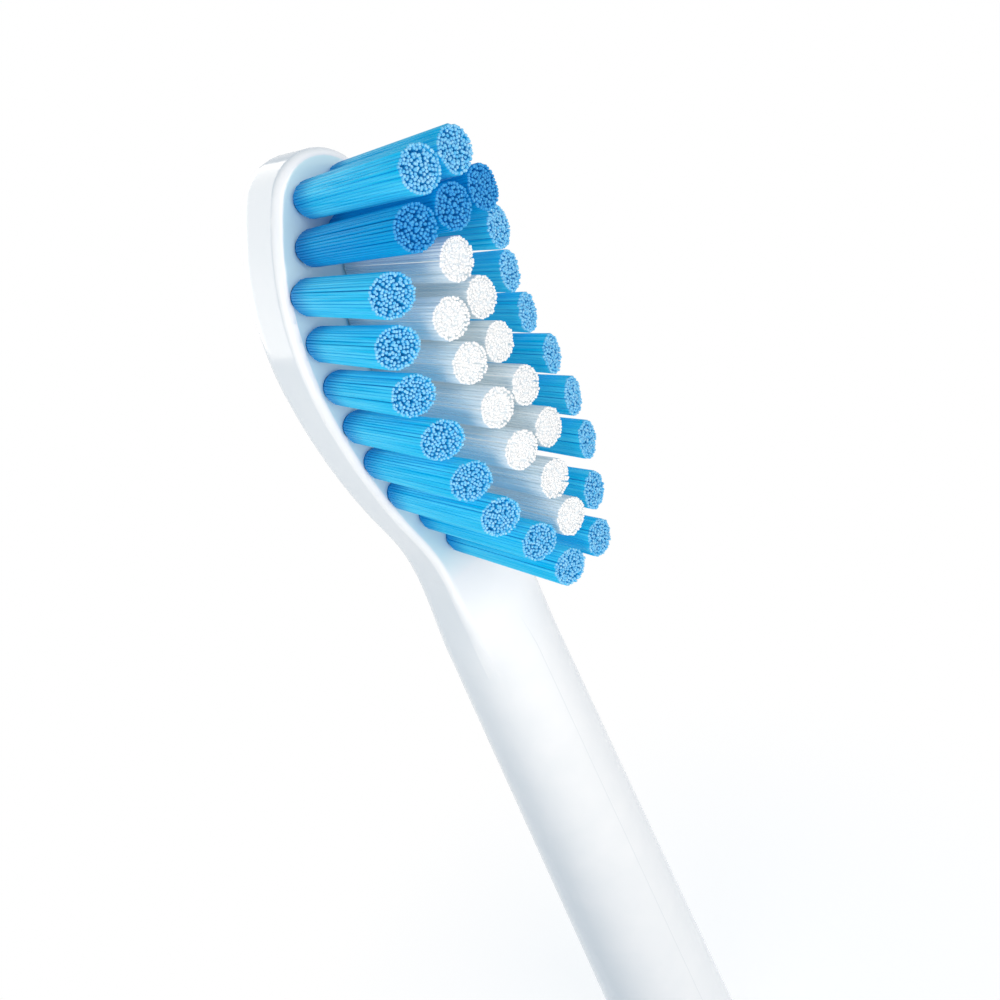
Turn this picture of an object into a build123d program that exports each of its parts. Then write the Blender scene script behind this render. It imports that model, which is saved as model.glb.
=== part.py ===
from build123d import *
import os
from math import atan2, degrees, radians, tan

# Click-on brush head of a sonic toothbrush, in millimetres.
# It stands on its base: +Z runs up the stem to the tip, and the tufts point along -Y.
# The origin is the middle of the base, on the axis of the drive shaft.

# Stem
total_length = 80.0          # base to the tip of the head
base_diameter = 10.2         # stem at its foot
neck_diameter = 6.7          # stem where it meets the neck
base_round = 0.6             # rounded edge around the foot

# Brush plate
face_offset = 2.0            # plate's face, in front of the shaft axis
plate_thickness = 4.1
rim_radius = 0.45            # rounded edge around the face
back_radius = 1.6            # rounded edge around the back
tip_radius = 2.7             # rounded end, seen from the front
tip_wall = 1.2               # plastic between the first row's holes and the tip
edge_wall = 0.5              # plastic between the widest row's outer holes and the side wall
heel_wall = 1.8              # plastic between the last row's holes and the end of the flat face
heel_width = 5.7             # plate where it turns into the neck
lower_side_radius = 32.0     # side wall from the widest row down towards the neck
neck_length = 7.0            # heel to the round stem

# Tuft field
hole_diameter = 1.3
hole_depth = 2.6
swell = 0.17                 # tuft spreads this far past its hole, all around
swell_height = 0.4
end_diameter = 1.84          # tuft at its trimmed end
column_gap = 0.06            # between the ends of neighbours in a row
row_gap = 0.28               # between the ends of neighbouring rows
crown_radius = 9.0           # trimmed ends are rounded across the field

# Rows at the tip, which lean outwards and have blue middle tufts too
tip_rows = 2
tip_lean = 3.0               # degrees
tip_row_pitch = 1.8          # first row to the second, whose tufts stand in its gaps
lean_row_pitch = 1.68        # last leaning row to the first upright one, at the face

# Rows from the tip down: middle tufts, extra room beside the outer tufts, height of the crown
row_middle_counts = (0, 1, 1, 2, 2, 2, 2, 1, 1, 0)
row_rooms = (0.0, 0.0, 1.25, 0.65, 0.85, 0.85, 0.7, 1.25, 0.15, 0.2)
row_crowns = (8.45, 8.3, 7.3, 6.8, 6.85, 7.5, 8.0, 8.25, 8.4, 8.5)

# Anchor plates
anchor_thickness = 0.25
anchor_bite = 0.2            # each end reaches this far into the wall of the hole
anchor_height = 1.2
anchor_lift = 0.35           # fold of the tuft between the anchor and the bottom of its hole

# Socket for the drive shaft
shaft_diameter = 4.0
shaft_clearance = 0.1        # bore over shaft, on diameter
bore_depth = 15.0
mouth_chamfer = 0.4
key_diameter = 3.5           # slimmer end of the shaft
key_flat = 1.2               # flat of the keyed end, from the shaft axis

# Spring clip
clip_thickness = 0.3
clip_width = 2.2
clip_length = 8.4
clip_foot = 1.4              # straight run at each end
clip_crest = 0.8             # straight run that presses on the shaft
clip_rise = 0.75             # from the feet to the crest
clip_preload = 0.1           # crest stands this far inside the flat
clip_bend = 0.5              # bend radius
clip_clearance = 0.1         # clip to the sides and ends of its pocket
clip_end_wall = 0.7          # plastic beyond the ends of that pocket

# Places that follow from the sizes
column_pitch = end_diameter + column_gap
row_pitch = end_diameter + row_gap
row_heights = [total_length - tip_wall - hole_diameter / 2]
for row in range(1, len(row_crowns)):
    pitch = row_pitch
    if row < tip_rows:
        pitch = tip_row_pitch
    elif row == tip_rows:
        pitch = lean_row_pitch
    row_heights.append(row_heights[-1] - pitch)
outer_places = [column_pitch * (n + 1) / 2 + room for n, room in zip(row_middle_counts, row_rooms)]
heel_height = row_heights[-1] - hole_diameter / 2 - heel_wall
neck_foot = heel_height - neck_length
plate_back = plate_thickness - face_offset
face_plane = Plane.XZ.offset(face_offset)
bore_diameter = shaft_diameter + shaft_clearance
clip_back = key_flat - clip_preload + clip_rise + clip_thickness
clip_bottom = bore_depth + clip_end_wall + clip_clearance
clip_top = clip_bottom + clip_length
key_top = clip_top + clip_clearance + clip_end_wall
anchor_length = hole_diameter + 2 * anchor_bite
anchor_depth = hole_depth - anchor_lift - anchor_height / 2

# Side wall of the plate: four arcs, each tangent to the next, from the tip down to the heel
half_heel = heel_width / 2
widest_place = max(outer_places)
widest_height = row_heights[outer_places.index(widest_place)]
half_width = widest_place + hole_diameter / 2 + edge_wall
tip_rise = total_length - tip_radius - widest_height
upper_side_radius = (half_width**2 + tip_rise**2 - tip_radius**2) / (half_width - tip_radius) / 2
tip_angle = degrees(atan2(tip_rise, upper_side_radius - half_width))
narrowing = half_width - half_heel
heel_drop = widest_height - heel_height
heel_radius = (narrowing**2 + heel_drop**2) / narrowing / 2 - lower_side_radius
heel_angle = degrees(atan2(heel_drop, lower_side_radius + heel_radius - narrowing))


def tuft_places():
    """Each tuft's name, its place across the face, its row's height, its crown and its lean."""
    sides = {0: (), 1: ("middle",), 2: ("inner_left", "inner_right")}
    places = []
    for row, (height, outer, crown) in enumerate(zip(row_heights, outer_places, row_crowns)):
        leaning = row < tip_rows
        lean = tip_lean if leaning else 0
        middles = row_middle_counts[row]
        row_name = f"tuft_{row + 1:02d}"
        inner_colour = "blue" if leaning else "white"
        places.append((f"{row_name}_blue_left", -outer, height, crown, lean))
        places.append((f"{row_name}_blue_right", outer, height, crown, lean))
        for count, side in enumerate(sides[middles]):
            across = column_pitch * (count - (middles - 1) / 2)
            places.append((f"{row_name}_{inner_colour}_{side}", across, height, crown, lean))
    return places


tufts = tuft_places()
tuft_spots = [
    face_plane.location * Pos(across, height) * Rot(-lean, 0, 0)
    for _, across, height, _, lean in tufts
]
hole_spots = [spot * Pos(0, 0, -hole_depth) for spot in tuft_spots]
anchor_spots = [spot * Pos(0, 0, -anchor_depth) for spot in tuft_spots]


def neck_outline(roundness, radius):
    """Section of the neck, between the plate's own section and the round of the stem.

    The plate's section has eight edges, each given by its start, middle and end.
    Every point moves out along its own spoke until it lies on the stem's circle.
    """
    side = half_heel
    front = -face_offset
    bow = 1 - 2 ** -0.5
    rim, back = rim_radius, back_radius
    half = [
        (0, front),
        (side - rim, front),
        (side - rim * bow, front + rim * bow),
        (side, front + rim),
        (side, (front + rim + plate_back - back) / 2),
        (side, plate_back - back),
        (side - back * bow, plate_back - back * bow),
        (side - back, plate_back),
        (0, plate_back),
    ]
    ring = half + [(-x, y) for x, y in reversed(half[1:-1])]
    moved = []
    for x, y in ring:
        spot = Vector(x, y)
        moved.append(spot + (spot.normalized() * radius - spot) * roundness)
    return moved


# Body: brush plate, neck and stem in one moulding
with BuildPart() as head_body:
    with BuildSketch(face_plane):
        with BuildLine():
            wall = [
                CenterArc((0, total_length - tip_radius), tip_radius, tip_angle, 90 - tip_angle),
                CenterArc((half_width - upper_side_radius, widest_height), upper_side_radius, 0, tip_angle),
                CenterArc(
                    (half_width - lower_side_radius, widest_height),
                    lower_side_radius,
                    -heel_angle,
                    heel_angle,
                ),
                CenterArc((half_heel + heel_radius, heel_height), heel_radius, 180 - heel_angle, heel_angle),
            ]
            mirror(wall, about=Plane.YZ)
            Line((-half_heel, heel_height), (half_heel, heel_height))
        make_face()
    extrude(amount=-plate_thickness)
    front_edges = head_body.faces().sort_by(Axis.Y)[0].edges()
    fillet(front_edges.filter_by(GeomType.LINE, reverse=True), radius=rim_radius)
    back_edges = head_body.faces().sort_by(Axis.Y)[-1].edges()
    fillet(back_edges.filter_by(GeomType.LINE, reverse=True), radius=back_radius)

    # Neck, which swells from the plate's section to the round stem
    neck_steps = 4
    for step in range(neck_steps + 1):
        share = step / neck_steps
        roundness = share * share * (3 - 2 * share)
        points = neck_outline(roundness, neck_diameter / 2)
        with BuildSketch(Plane.XY.offset(heel_height - neck_length * share)):
            with BuildLine():
                for middle in range(0, len(points), 2):
                    flat = step == 0 and middle % 4 == 0
                    if flat:
                        Line(points[middle - 1], points[middle + 1])
                    else:
                        ThreePointArc(*[points[middle + n] for n in (-1, 0, 1)])
            make_face()
    loft()

    # Stem, tapering up from the foot
    with BuildSketch(Plane.XZ):
        with BuildLine():
            Polyline(
                (0, 0),
                (base_diameter / 2, 0),
                (neck_diameter / 2, neck_foot),
                (0, neck_foot),
                close=True,
            )
        make_face()
    revolve(axis=Axis.Z)
    fillet(head_body.faces().sort_by(Axis.Z)[0].edges(), radius=base_round)

    # Socket: round bore, keyed end and the pocket of the clip
    with BuildSketch(Plane.XY):
        Circle(bore_diameter / 2)
    extrude(amount=bore_depth, mode=Mode.SUBTRACT)
    mouth = head_body.faces().sort_by(Axis.Z)[0].edges().sort_by(SortBy.RADIUS)[0]
    chamfer(mouth, length=mouth_chamfer)
    with BuildSketch(Plane.XY.offset(bore_depth)):
        Circle(key_diameter / 2)
        with Locations((0, key_flat + key_diameter / 2)):
            Rectangle(key_diameter, key_diameter, mode=Mode.SUBTRACT)
    extrude(amount=key_top - bore_depth, mode=Mode.SUBTRACT)
    with BuildSketch(Plane.YZ):
        with Locations((clip_back / 2, (clip_bottom + clip_top) / 2)):
            Rectangle(clip_back, clip_length + 2 * clip_clearance)
    extrude(amount=clip_width / 2 + clip_clearance, both=True, mode=Mode.SUBTRACT)

    # Blind holes for the tufts, open past the face, with the bites of their anchors
    with Locations(*hole_spots):
        Cylinder(
            hole_diameter / 2,
            hole_depth + swell_height,
            align=(Align.CENTER, Align.CENTER, Align.MIN),
            mode=Mode.SUBTRACT,
        )
    with Locations(*anchor_spots):
        Box(anchor_length, anchor_thickness, anchor_height, mode=Mode.SUBTRACT)

# Anchors: metal plates, one in the fold of each tuft
with BuildPart() as tuft_anchors:
    with Locations(*anchor_spots):
        Box(anchor_length, anchor_thickness, anchor_height)

# Clip: bent leaf spring, seated on the back of its pocket
with BuildPart() as shaft_clip:
    clip_middle = (clip_bottom + clip_top) / 2
    bends = [
        (clip_back, clip_bottom + clip_foot),
        (clip_back - clip_rise, clip_middle - clip_crest / 2),
        (clip_back - clip_rise, clip_middle + clip_crest / 2),
        (clip_back, clip_top - clip_foot),
    ]
    outer_run = [(clip_back, clip_bottom), *bends, (clip_back, clip_top)]
    inner_run = [(y - clip_thickness, z) for y, z in reversed(outer_run)]
    with BuildSketch(Plane.YZ) as clip_side:
        with BuildLine():
            Polyline(*outer_run, *inner_run, close=True)
        make_face()
        corners = clip_side.vertices().sort_by(Axis.Y)
        fillet(corners[2:-2], radius=clip_bend)
    extrude(amount=clip_width / 2, both=True)

os.makedirs("parts", exist_ok=True)
for piece, name in (
    (head_body, "head_body"),
    (tuft_anchors, "tuft_anchors"),
    (shaft_clip, "shaft_clip"),
):
    piece.part.label = name
    export_step(piece.part, f"parts/{name}.step")

# Tufts: each fills its hole, swells above the face and is trimmed along the crown
for (name, across, _, crown, lean), spot, anchor_spot in zip(tufts, tuft_spots, anchor_spots):
    stand = Plane(spot)
    swelled_radius = hole_diameter / 2 + swell
    foot = swelled_radius * tan(radians(lean))
    crown_drop = crown_radius - (crown_radius ** 2 - across ** 2) ** 0.5
    end_height = crown - crown_drop
    end_middle = stand.origin + stand.z_dir * end_height
    end_normal = stand.x_dir * across + stand.z_dir * (crown_radius - crown_drop)
    longest = end_height + end_diameter / 2
    with BuildPart() as tuft:
        with BuildSketch(Plane(stand.origin, x_dir=stand.x_dir, z_dir=-stand.y_dir)):
            with BuildLine():
                Polyline(
                    (0, -hole_depth),
                    (hole_diameter / 2, -hole_depth),
                    (hole_diameter / 2, foot),
                    (swelled_radius, foot + swell_height),
                    (end_diameter / 2, end_height),
                    (end_diameter / 2, longest),
                    (0, longest),
                    close=True,
                )
            make_face()
        revolve(axis=Axis(stand.origin, stand.z_dir))
        split(bisect_by=Plane(end_middle, z_dir=end_normal), keep=Keep.BOTTOM)
        with Locations(anchor_spot):
            Box(anchor_length, anchor_thickness, anchor_height, mode=Mode.SUBTRACT)
    tuft.part.label = name
    export_step(tuft.part, f"parts/{name}.step")
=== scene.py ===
import bmesh
import bpy
import random
from math import cos, pi, radians, sin, sqrt
from mathutils import Matrix, Vector


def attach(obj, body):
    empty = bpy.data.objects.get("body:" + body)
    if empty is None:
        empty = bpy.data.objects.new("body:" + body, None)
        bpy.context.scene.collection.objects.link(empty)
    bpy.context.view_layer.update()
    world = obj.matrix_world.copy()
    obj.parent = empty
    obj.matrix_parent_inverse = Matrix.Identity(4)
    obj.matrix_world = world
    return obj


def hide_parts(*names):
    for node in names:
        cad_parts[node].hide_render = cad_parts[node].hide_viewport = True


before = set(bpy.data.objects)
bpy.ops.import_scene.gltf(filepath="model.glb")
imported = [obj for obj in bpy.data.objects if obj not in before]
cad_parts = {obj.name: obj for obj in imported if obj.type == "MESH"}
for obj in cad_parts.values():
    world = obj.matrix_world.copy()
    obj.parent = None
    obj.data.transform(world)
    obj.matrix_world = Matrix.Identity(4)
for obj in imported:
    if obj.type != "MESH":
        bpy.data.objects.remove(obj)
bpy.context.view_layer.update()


# Body: brush plate, neck and stem, injection moulded in one piece of white acetal.
# The tool is polished, so the skin is glossy and only faintly uneven; the plate's rounded rim
# carries a painted highlight. The tool's halves leave a fine witness line down the stem.

def linear(colour):
    """A colour written as sRGB hex, in Blender's linear light."""
    channels = [int(colour[n:n + 2], 16) / 255 for n in (1, 3, 5)]
    return [c / 12.92 if c <= 0.04045 else ((c + 0.055) / 1.055) ** 2.4 for c in channels] + [1.0]


def add_node(tree, kind, settings=None, links=None):
    """Adds one node: settings name its sockets or its properties, links name its sockets."""
    node = tree.nodes.new(kind)
    for name, value in (settings or {}).items():
        if isinstance(name, int) or name in node.inputs:
            node.inputs[name].default_value = value
        else:
            setattr(node, name, value)
    for name, output in (links or {}).items():
        tree.links.new(output, node.inputs[name])
    return node


mm = 0.001
witness_width = 0.09 * mm
witness_top, witness_fade = 53.5 * mm, 2.0 * mm
plate_foot, plate_fade = 54.0 * mm, 4.0 * mm
tuft_field_foot, tuft_field_fade = 57.5 * mm, 2.0 * mm
skin_ripple = 2.5 * mm
skin_grain = 0.35 * mm           # finer on the real one, drawn coarse enough to show
skin_relief = 0.02 * mm
smoothest, dullest = 0.1, 0.18   # roughness of the polished skin
# These turns of the skin towards the tufts bound the painted highlight on the plate's rim, and where the
# face's tint begins.
wall_end, rim_start, rim_end = 0.12, 0.3, 0.9    # how far the skin faces the tufts, 1 on the flat
face_start, face_flat = 0.97, 0.995

acetal = bpy.data.materials.new("moulded_white_acetal")
acetal.use_nodes = True
tree = acetal.node_tree
tree.nodes.clear()
coordinates = add_node(tree, "ShaderNodeTexCoord").outputs["Object"]
ripple = add_node(
    tree, "ShaderNodeTexNoise", {"Scale": 1 / skin_ripple, "Detail": 2.0}, {"Vector": coordinates},
)
grain = add_node(
    tree, "ShaderNodeTexNoise", {"Scale": 1 / skin_grain, "Detail": 3.0}, {"Vector": coordinates},
)
place = add_node(tree, "ShaderNodeSeparateXYZ", links={"Vector": coordinates})
beside = add_node(tree, "ShaderNodeMath", {"operation": "ABSOLUTE"}, {0: place.outputs["X"]})
ridge = add_node(
    tree, "ShaderNodeMapRange",
    {"interpolation_type": "SMOOTHSTEP", "From Min": witness_width / 2, "From Max": 0.0},
    {"Value": beside.outputs[0]},
)
on_stem = add_node(
    tree, "ShaderNodeMapRange",
    {"From Min": witness_top, "From Max": witness_top - witness_fade},
    {"Value": place.outputs["Z"]},
)
witness = add_node(
    tree, "ShaderNodeMath", {"operation": "MULTIPLY"},
    {0: ridge.outputs["Result"], 1: on_stem.outputs["Result"]},
)
skin = add_node(
    tree, "ShaderNodeMix",
    {"data_type": "RGBA", 6: linear("#EEF2F5"), 7: linear("#F6F8FA")},
    {0: ripple.outputs["Fac"]},
)
on_plate = add_node(
    tree, "ShaderNodeMapRange",
    {"From Min": plate_foot, "From Max": plate_foot + plate_fade},
    {"Value": place.outputs["Z"]},
)
normal = add_node(tree, "ShaderNodeNewGeometry").outputs["Normal"]
outward = add_node(tree, "ShaderNodeSeparateXYZ", links={"Vector": normal})
turning = add_node(
    tree, "ShaderNodeMath", {"operation": "MULTIPLY", 1: -1.0}, {0: outward.outputs["Y"]},
)
# Painted highlight: the colour is whitened on the plate's rounded rim, where the skin turns from the
# wall to the face.
rim_painted_highlight = add_node(tree, "ShaderNodeValToRGB", links={"Fac": turning.outputs[0]})
stops = rim_painted_highlight.color_ramp.elements
stops[0].position, stops[0].color = wall_end, (0.0, 0.0, 0.0, 1.0)
stops[1].position, stops[1].color = rim_start, (1.0, 1.0, 1.0, 1.0)
for position, level in ((rim_end, 1.0), (face_start, 0.0)):
    stops.new(position).color = (level, level, level, 1.0)
rim = add_node(
    tree, "ShaderNodeMath", {"operation": "MULTIPLY"},
    {0: rim_painted_highlight.outputs["Color"], 1: on_plate.outputs["Result"]},
)
rimmed = add_node(
    tree, "ShaderNodeMix", {"data_type": "RGBA", 7: linear("#FFFFFF")},
    {0: rim.outputs[0], 6: skin.outputs[2]},
)
flat = add_node(
    tree, "ShaderNodeMapRange", {"From Min": face_start, "From Max": face_flat},
    {"Value": turning.outputs[0]},
)
among_tufts = add_node(
    tree, "ShaderNodeMapRange",
    {"From Min": tuft_field_foot, "From Max": tuft_field_foot + tuft_field_fade},
    {"Value": place.outputs["Z"]},
)
face = add_node(
    tree, "ShaderNodeMath", {"operation": "MULTIPLY"},
    {0: flat.outputs["Result"], 1: among_tufts.outputs["Result"]},
)
# The face among the tufts is tinted by the blue light that their clear filaments pass down to it.
tinted = add_node(
    tree, "ShaderNodeMix", {"data_type": "RGBA", 7: linear("#D0EDF3")},
    {0: face.outputs[0], 6: rimmed.outputs[2]},
)
lined = add_node(
    tree, "ShaderNodeMix", {"data_type": "RGBA", 7: linear("#E4E9ED")},
    {0: witness.outputs[0], 6: tinted.outputs[2]},
)
polish = add_node(
    tree, "ShaderNodeMapRange", {"To Min": smoothest, "To Max": dullest},
    {"Value": grain.outputs["Fac"]},
)
relief = add_node(
    tree, "ShaderNodeMath", {"operation": "MULTIPLY_ADD", 1: 0.15},
    {0: grain.outputs["Fac"], 2: witness.outputs[0]},
)
bump = add_node(
    tree, "ShaderNodeBump", {"Strength": 0.25, "Distance": skin_relief},
    {"Height": relief.outputs[0]},
)
shader = add_node(
    tree, "ShaderNodeBsdfPrincipled", {"IOR": 1.48},
    {
        "Base Color": lined.outputs[2],
        "Roughness": polish.outputs["Result"],
        "Normal": bump.outputs["Normal"],
    },
)
add_node(tree, "ShaderNodeOutputMaterial", links={"Surface": shader.outputs["BSDF"]})
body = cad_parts["head_body"]
body.data.materials.clear()
body.data.materials.append(acetal)


# Tuft anchors: small plates sheared from hard brass strip, one driven into the hole over
# the fold of each tuft. Shearing leaves them satin, with fine marks along the strip.

strip_marks = 0.04 * mm

brass = bpy.data.materials.new("sheared_brass_strip")
brass.use_nodes = True
tree = brass.node_tree
tree.nodes.clear()
coordinates = add_node(tree, "ShaderNodeTexCoord").outputs["Object"]
drawn_out = add_node(tree, "ShaderNodeMapping", {"Scale": (0.05, 1.0, 1.0)}, {"Vector": coordinates})
marks = add_node(
    tree, "ShaderNodeTexNoise", {"Scale": 1 / strip_marks, "Detail": 2.0},
    {"Vector": drawn_out.outputs["Vector"]},
)
tarnish = add_node(
    tree, "ShaderNodeMix",
    {"data_type": "RGBA", 6: linear("#B8924A"), 7: linear("#E0C078")},
    {0: marks.outputs["Fac"]},
)
satin = add_node(
    tree, "ShaderNodeMapRange", {"To Min": 0.28, "To Max": 0.45}, {"Value": marks.outputs["Fac"]},
)
shader = add_node(
    tree, "ShaderNodeBsdfPrincipled", {"Metallic": 1.0},
    {"Base Color": tarnish.outputs[2], "Roughness": satin.outputs["Result"]},
)
add_node(tree, "ShaderNodeOutputMaterial", links={"Surface": shader.outputs["BSDF"]})
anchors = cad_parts["tuft_anchors"]
anchors.data.materials.clear()
anchors.data.materials.append(brass)


# Blue tufts: bundles of round nylon filaments, folded over their anchors in the holes and
# spreading above the face. They are trimmed to a crowned field and their ends are
# ground round, which leaves the ends pale and frosted against the clear blue sides.

face_offset = 2.0 * mm
swell_height = 0.44 * mm
end_radius = 0.92 * mm
crown_radius = 9.0 * mm
root_depth = 0.25 * mm
root_squeeze = 0.573             # of the bundle's width at its end
swell_squeeze = 0.891
filament_radius = 0.074 * mm
filament_rings = 6
outer_filaments = 40
filament_sides = 6
filament_pitch = (end_radius - filament_radius) / filament_rings
bar_length = 0.6 * mm            # above the swell, until a tuft draws it out to its own length
jitter = 0.12                    # of the pitch, and so are the strays of the free ends
core_stray, outer_stray = 0.18, 0.1
trim_scatter = 0.09 * mm
foot_shade_height = 2.2 * mm         # above the face, where the tuft's foot is coloured darker: painted shade among the close filaments
outer_side, ground_end, core_side = 0, 1, 2


def filament(rounding, side):
    """One filament along +Z: a thin bar from its root past the swell, with a rounded free end."""
    bar = bmesh.new()
    root = bmesh.ops.create_circle(bar, cap_ends=True, segments=filament_sides, radius=filament_radius)
    bmesh.ops.translate(bar, verts=root["verts"], vec=(0, 0, -root_depth))
    edges = bar.edges[:]
    stations = (
        (root_depth + swell_height, 1.0, side),
        (bar_length, 1.0, side),
        (0.5 * filament_radius, rounding[0], ground_end),
        (0.3 * filament_radius, rounding[1], ground_end),
    )
    for rise, narrowing, finish in stations:
        grown = bmesh.ops.extrude_edge_only(bar, edges=edges)["geom"]
        loop = [part for part in grown if isinstance(part, bmesh.types.BMVert)]
        bmesh.ops.translate(bar, verts=loop, vec=(0, 0, rise))
        bmesh.ops.scale(bar, verts=loop, vec=(narrowing, narrowing, 1))
        edges = [edge for edge in bar.edges if edge.verts[0] in loop and edge.verts[1] in loop]
        for part in grown:
            if isinstance(part, bmesh.types.BMFace):
                part.material_index = finish
    bmesh.ops.edgeloop_fill(bar, edges=edges, mat_nr=ground_end)
    bmesh.ops.recalc_face_normals(bar, faces=bar.faces[:])
    for face in bar.faces:
        face.smooth = True
    mesh = bpy.data.meshes.new("filament")
    bar.to_mesh(mesh)
    bar.free()
    return mesh


def tuft_of_filaments(name, across, height, crown, lean, strands, finishes):
    """A tuft in the place of its CAD node: uneven rings of filaments about a middle one."""
    dice = random.Random(name)
    core_strand, outer_strand = strands
    strand_length = max(point.co.z for point in outer_strand.vertices)
    crown_slope = across / sqrt(crown_radius ** 2 - across ** 2)
    end_height = crown - crown_radius + sqrt(crown_radius ** 2 - across ** 2)
    spots = [(core_strand, 0.0, 0.0)]
    for ring in range(1, filament_rings + 1):
        outermost = ring == filament_rings
        strand = outer_strand if outermost else core_strand
        around = outer_filaments if outermost else 6 * ring
        reach = ring * filament_pitch
        turn = dice.uniform(0, 2 * pi)
        for count in range(around):
            angle = turn + 2 * pi * count / around
            spots.append((strand, reach * cos(angle), reach * sin(angle)))
    bundle = bmesh.new()
    for strand, x, y in spots:
        x += dice.uniform(-jitter, jitter) * filament_pitch
        y += dice.uniform(-jitter, jitter) * filament_pitch
        bundle.from_mesh(strand)
        bundle.verts.ensure_lookup_table()
        newest = bundle.verts[-len(strand.vertices):]
        bmesh.ops.translate(bundle, verts=newest, vec=(x, y, 0))
        free_end = [point for point in newest if point.co.z > 2 * swell_height]
        length = end_height - x * crown_slope - dice.uniform(0, trim_scatter)
        bend = outer_stray if strand == outer_strand else core_stray
        stray = [dice.gauss(0, bend) * filament_pitch for _ in range(2)]
        bmesh.ops.translate(bundle, verts=free_end, vec=(*stray, length - strand_length))
    for low, high, squeeze in (
        (-2 * root_depth, 0.0, root_squeeze),
        (0.0, 2 * swell_height, swell_squeeze),
    ):
        level = [point for point in bundle.verts if low < point.co.z < high]
        bmesh.ops.scale(bundle, verts=level, vec=(squeeze, squeeze, 1))
    turned = Matrix.Rotation(radians(90 - lean), 4, "X")
    stand = Matrix.Translation((across, -face_offset, height)) @ turned
    bmesh.ops.transform(bundle, matrix=stand, verts=bundle.verts[:])
    mesh = bpy.data.meshes.new(name + "_filaments")
    bundle.to_mesh(mesh)
    bundle.free()
    for finish in finishes:
        mesh.materials.append(finish)
    tuft = bpy.data.objects.new(name + "_filaments", mesh)
    bpy.context.scene.collection.objects.link(tuft)
    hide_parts(name)
    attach(tuft, "root")
    return tuft


def nylon(name, foot_shade_colour, dark_colour, light_colour, roughness, painted_glow):
    """Extruded nylon: each filament a shade of its own, darker towards the foot as painted shade, with a
    painted glow for the light its neighbours pass on.
    """
    material = bpy.data.materials.new(name)
    material.use_nodes = True
    tree = material.node_tree
    tree.nodes.clear()
    coordinates = add_node(tree, "ShaderNodeTexCoord").outputs["Object"]
    drawn_out = add_node(tree, "ShaderNodeMapping", {"Scale": (1.0, 0.02, 1.0)}, {"Vector": coordinates})
    shade = add_node(
        tree, "ShaderNodeTexNoise", {"Scale": 0.5 / filament_radius, "Detail": 1.0},
        {"Vector": drawn_out.outputs["Vector"]},
    )
    spread = add_node(
        tree, "ShaderNodeMapRange", {"From Min": 0.3, "From Max": 0.7}, {"Value": shade.outputs["Fac"]},
    )
    strands = add_node(
        tree, "ShaderNodeMix", {"data_type": "RGBA", 6: linear(dark_colour), 7: linear(light_colour)},
        {0: spread.outputs["Result"]},
    )
    place = add_node(tree, "ShaderNodeSeparateXYZ", links={"Vector": coordinates})
    # Painted shade: the colour darkens to the foot colour towards the face, where the close filaments
    # shade each other.
    painted_foot_shade = add_node(
        tree, "ShaderNodeMapRange",
        {
            "interpolation_type": "SMOOTHSTEP",
            "From Min": -face_offset - foot_shade_height,
            "From Max": -face_offset,
        },
        {"Value": place.outputs["Y"]},
    )
    colour = add_node(
        tree, "ShaderNodeMix", {"data_type": "RGBA", 7: linear(foot_shade_colour)},
        {0: painted_foot_shade.outputs["Result"], 6: strands.outputs[2]},
    )
    # The emission is a painted glow, standing in for the light that the clear filaments pass on to each
    # other.
    shader = add_node(                # a bundle traps most of what its filaments mirror
        tree, "ShaderNodeBsdfPrincipled",
        {
            "IOR": 1.53,
            "Specular IOR Level": 0.05,
            "Roughness": roughness,
            "Emission Strength": painted_glow,
        },
        {"Base Color": colour.outputs[2], "Emission Color": colour.outputs[2]},
    )
    add_node(tree, "ShaderNodeOutputMaterial", links={"Surface": shader.outputs["BSDF"]})
    return material


blue_strands = [filament((0.9, 0.75), side) for side in (core_side, outer_side)]
blue_finishes = (
    nylon("blue_nylon_sides", "#007EC6", "#00B4E4", "#4CCAEE", 0.4, 0.19),
    nylon("blue_nylon_ground_ends", "#5CC0F2", "#5CC0F2", "#9CDAFA", 0.6, 0.0),
    # painted shade: the core filaments, seen only in the gaps between the ends, are coloured darker and
    # glow less
    nylon("blue_nylon_core", "#1084C6", "#1694CE", "#2CACE0", 0.4, 0.12),
)
deep_blue_finishes = (           # the second row from the tip is coloured a deeper blue
    nylon("deep_blue_nylon_sides", "#0070BC", "#0096D6", "#0CA4DE", 0.4, 0.12),
    nylon("deep_blue_nylon_ground_ends", "#3096DC", "#3096DC", "#54B0E8", 0.6, 0.0),
    # painted shade: the core filaments, seen only in the gaps between the ends, are coloured darker and
    # glow less
    nylon("deep_blue_nylon_core", "#0C7CC4", "#0E84CA", "#1894D6", 0.4, 0.1),
)
upright, leaning = 0.0, 3.0
# Row from the tip, height up the head, offset to either side and crown height (mm), lean (degrees).
outer_tufts = (
    (1, 78.15, 0.95, 8.45, leaning),
    (2, 76.35, 1.90, 8.30, leaning),
    (3, 74.67, 3.15, 7.30, upright),
    (4, 72.55, 3.50, 6.80, upright),
    (5, 70.43, 3.70, 6.85, upright),
    (6, 68.31, 3.70, 7.50, upright),
    (7, 66.19, 3.55, 8.00, upright),
    (8, 64.07, 3.15, 8.25, upright),
    (9, 61.95, 2.05, 8.40, upright),
    (10, 59.83, 1.15, 8.50, upright),
)
_, height, _, crown, lean = outer_tufts[1]
blue_tufts = [("tuft_02_blue_middle", 0.0, height, crown, lean)]
for row, height, outer, crown, lean in outer_tufts:
    blue_tufts.append((f"tuft_{row:02d}_blue_left", -outer, height, crown, lean))
    blue_tufts.append((f"tuft_{row:02d}_blue_right", outer, height, crown, lean))
for name, across, height, crown, lean in blue_tufts:
    finishes = deep_blue_finishes if name.startswith("tuft_02") else blue_finishes
    tuft = tuft_of_filaments(
        name, across * mm, height * mm, crown * mm, lean, blue_strands, finishes,
    )


# White tufts: the same filaments without the dye, down the middle of the field.
# Undyed nylon is milky; the sides are coloured a cool pale grey and the ends nearly white.

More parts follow.
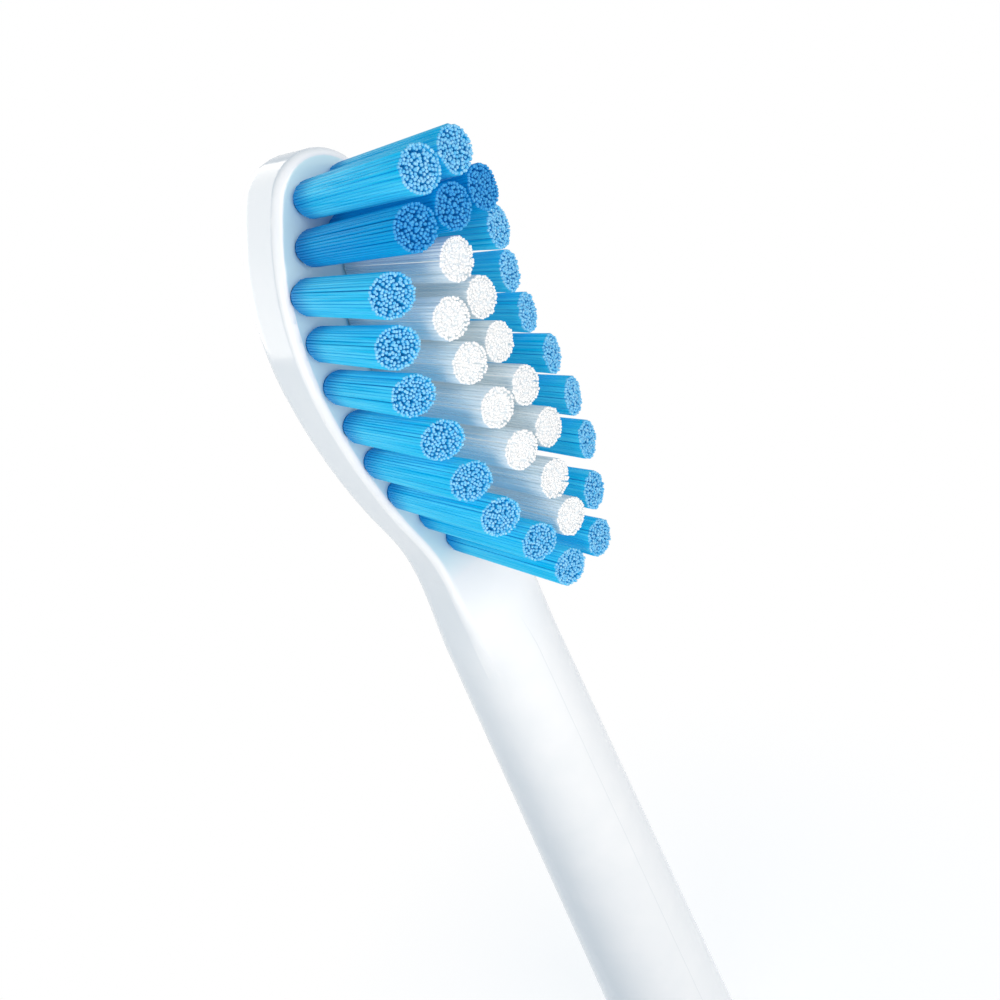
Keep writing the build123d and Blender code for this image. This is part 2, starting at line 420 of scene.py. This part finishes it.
white_strands = [filament((0.96, 0.88), side) for side in (core_side, outer_side)]
white_finishes = (
    nylon("white_nylon_sides", "#A4C8DA", "#D4E3EA", "#EEF5F8", 0.4, 0.09),
    nylon("white_nylon_ground_ends", "#FCFDFE", "#FAFCFD", "#FFFFFF", 0.6, 0.0),
    # painted light: the core filaments, seen only in the gaps between the ends, are coloured paler and
    # glow more
    nylon("white_nylon_core", "#DCE8EE", "#EEF3F6", "#FAFCFD", 0.4, 0.17),
)
inner_place = 0.95
white_tufts = []
for row, height, _, crown, _ in (outer_tufts[2], outer_tufts[7], outer_tufts[8]):
    white_tufts.append((f"tuft_{row:02d}_white_middle", 0.0, height, crown))
for row, height, _, crown, _ in outer_tufts[3:7]:
    white_tufts.append((f"tuft_{row:02d}_white_inner_left", -inner_place, height, crown))
    white_tufts.append((f"tuft_{row:02d}_white_inner_right", inner_place, height, crown))
for name, across, height, crown in white_tufts:
    tuft = tuft_of_filaments(
        name, across * mm, height * mm, crown * mm, upright, white_strands, white_finishes,
    )


# Shaft clip: a leaf spring bent from stainless strip, which snaps into a pocket at the inner
# end of the socket. Rolling leaves it bright, with fine lines along the strip.

roll_lines = 0.05 * mm

spring_steel = bpy.data.materials.new("rolled_stainless_strip")
spring_steel.use_nodes = True
tree = spring_steel.node_tree
tree.nodes.clear()
coordinates = add_node(tree, "ShaderNodeTexCoord").outputs["Object"]
drawn_out = add_node(tree, "ShaderNodeMapping", {"Scale": (1.0, 1.0, 0.04)}, {"Vector": coordinates})
lines = add_node(
    tree, "ShaderNodeTexNoise", {"Scale": 1 / roll_lines, "Detail": 2.0},
    {"Vector": drawn_out.outputs["Vector"]},
)
bright = add_node(
    tree, "ShaderNodeMix",
    {"data_type": "RGBA", 6: linear("#B9BBBD"), 7: linear("#D6D8DA")},
    {0: lines.outputs["Fac"]},
)
satin = add_node(
    tree, "ShaderNodeMapRange", {"To Min": 0.2, "To Max": 0.34}, {"Value": lines.outputs["Fac"]},
)
shader = add_node(
    tree, "ShaderNodeBsdfPrincipled", {"Metallic": 1.0},
    {"Base Color": bright.outputs[2], "Roughness": satin.outputs["Result"]},
)
add_node(tree, "ShaderNodeOutputMaterial", links={"Surface": shader.outputs["BSDF"]})
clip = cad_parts["shaft_clip"]
clip.data.materials.clear()
clip.data.materials.append(spring_steel)


# Studio: a seamless white floor under the head, which keeps its faint shadow and fades to
# plain white, a white surround, three soft lamps and the camera at the photograph's place.

floor_reach = 1.5
shadow_start, shadow_end = 8.0 * mm, 45.0 * mm
shadow_glow = 0.76               # with the lamps' light on the grey sheet, this makes white

floor_mesh = bpy.data.meshes.new("floor")
sheet = bmesh.new()
bmesh.ops.create_grid(sheet, x_segments=1, y_segments=1, size=floor_reach)
sheet.to_mesh(floor_mesh)
sheet.free()
floor = bpy.data.objects.new("floor", floor_mesh)
bpy.context.scene.collection.objects.link(floor)

paper = bpy.data.materials.new("white_paper_floor")
paper.use_nodes = True
tree = paper.node_tree
tree.nodes.clear()
seen = add_node(tree, "ShaderNodeLightPath")
mirrored = add_node(
    tree, "ShaderNodeMath", {"operation": "MAXIMUM"},
    {0: seen.outputs["Is Camera Ray"], 1: seen.outputs["Is Glossy Ray"]},
)
looked_at = add_node(
    tree, "ShaderNodeMath", {"operation": "MAXIMUM"},
    {0: mirrored.outputs[0], 1: seen.outputs["Is Transmission Ray"]},
)
coordinates = add_node(tree, "ShaderNodeTexCoord").outputs["Object"]
away = add_node(tree, "ShaderNodeVectorMath", {"operation": "LENGTH"}, {0: coordinates})
fade = add_node(
    tree, "ShaderNodeMapRange",
    {"interpolation_type": "SMOOTHSTEP", "From Min": shadow_start, "From Max": shadow_end},
    {"Value": away.outputs["Value"]},
)
plain = add_node(tree, "ShaderNodeBsdfDiffuse", {"Color": linear("#F2F3F4")})
shaded = add_node(tree, "ShaderNodeBsdfDiffuse", {"Color": linear("#A0A0A0")})
glow = add_node(tree, "ShaderNodeEmission", {"Color": linear("#FFFFFF"), "Strength": shadow_glow})
near = add_node(tree, "ShaderNodeAddShader", links={0: shaded.outputs[0], 1: glow.outputs[0]})
far = add_node(tree, "ShaderNodeEmission", {"Color": linear("#FFFFFF"), "Strength": 1.0})
white = add_node(
    tree, "ShaderNodeMixShader",
    links={0: fade.outputs["Result"], 1: near.outputs[0], 2: far.outputs[0]},
)
mixed = add_node(
    tree, "ShaderNodeMixShader",
    links={0: looked_at.outputs[0], 1: plain.outputs[0], 2: white.outputs[0]},
)
add_node(tree, "ShaderNodeOutputMaterial", links={"Surface": mixed.outputs[0]})
floor_mesh.materials.append(paper)

world = bpy.data.worlds.new("white_surround")
bpy.context.scene.world = world
world.use_nodes = True
tree = world.node_tree
tree.nodes.clear()
seen = add_node(tree, "ShaderNodeLightPath")
mirrored = add_node(
    tree, "ShaderNodeMath", {"operation": "MAXIMUM"},
    {0: seen.outputs["Is Camera Ray"], 1: seen.outputs["Is Glossy Ray"]},
)
looked_at = add_node(
    tree, "ShaderNodeMath", {"operation": "MAXIMUM"},
    {0: mirrored.outputs[0], 1: seen.outputs["Is Transmission Ray"]},
)
air = add_node(tree, "ShaderNodeBackground", {"Color": linear("#B8E1FF"), "Strength": 0.42})
white = add_node(tree, "ShaderNodeBackground", {"Color": linear("#FFFFFF"), "Strength": 1.0})
mixed = add_node(
    tree, "ShaderNodeMixShader",
    links={0: looked_at.outputs[0], 1: air.outputs[0], 2: white.outputs[0]},
)
add_node(tree, "ShaderNodeOutputWorld", links={"Surface": mixed.outputs[0]})

middle = Vector((0.0, -3.0, 60.0)) * mm
for name, place, size, watts, colour in (    # places and sizes in mm
    ("key_softbox", (15.0, -420.0, 150.0), 300.0, 1.32, "#FFEEDE"),
    ("side_softbox", (-38.0, -18.0, 72.0), 30.0, 0.0074, "#FFF4E8"),
    ("rim_softbox", (-40.0, 420.0, 120.0), 450.0, 1.3, "#FFF2E4"),
):
    lamp = bpy.data.lights.new(name, "AREA")
    lamp.size = size * mm
    lamp.energy = watts
    lamp.color = linear(colour)[:3]
    softbox = bpy.data.objects.new(name, lamp)
    bpy.context.scene.collection.objects.link(softbox)
    softbox.location = Vector(place) * mm
    softbox.rotation_euler = (middle - softbox.location).to_track_quat("-Z", "Y").to_euler()

camera = bpy.data.objects.new("camera", bpy.data.cameras.new("camera"))
bpy.context.scene.collection.objects.link(camera)
camera.location = Vector((-21.942, -37.266, 83.709)) * mm
camera.rotation_euler = (radians(58.598), radians(19.64), radians(-46.209))
camera.data.sensor_width = 36.0
camera.data.lens = 31.814
camera.data.clip_start = 1.0 * mm
bpy.context.scene.camera = camera
bpy.context.scene.view_settings.view_transform = "Standard"
